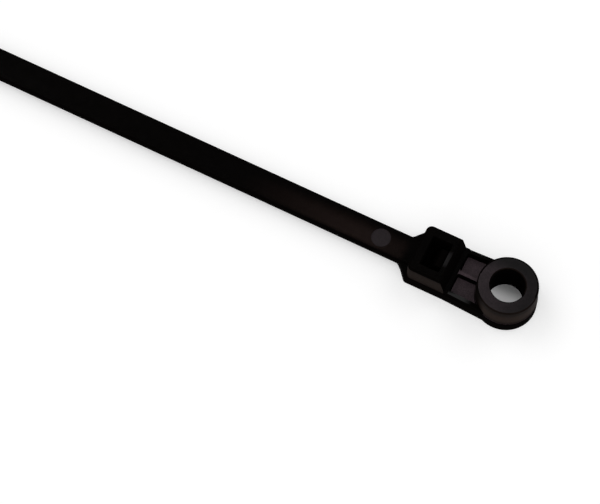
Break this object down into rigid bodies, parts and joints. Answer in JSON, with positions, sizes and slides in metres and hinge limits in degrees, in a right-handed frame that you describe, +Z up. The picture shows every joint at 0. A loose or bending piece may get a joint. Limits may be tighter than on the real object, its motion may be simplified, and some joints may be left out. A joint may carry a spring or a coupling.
{
  "type": "screw mount cable tie",
  "caption": "Black nylon cable tie moulded in one piece: a toothed strap, a locking head with a sprung pawl in its slot, and a tall ring on a tab that takes a mounting screw.",
  "frame": {"origin": "on the axis of the screw hole, at the flat base of the ring", "axes": "+X from the strap's tail towards the ring, +Y across the strap, +Z up from the base to the ring's top"},
  "size_m": [0.2029, 0.0094, 0.0061],
  "materials": {
    "nylon": "moulded black nylon, glossy strap and head, satin recesses and ring"
  },
  "bodies": {
    "root": {"cable_tie": "nylon"}
  },
  "joints": []
}
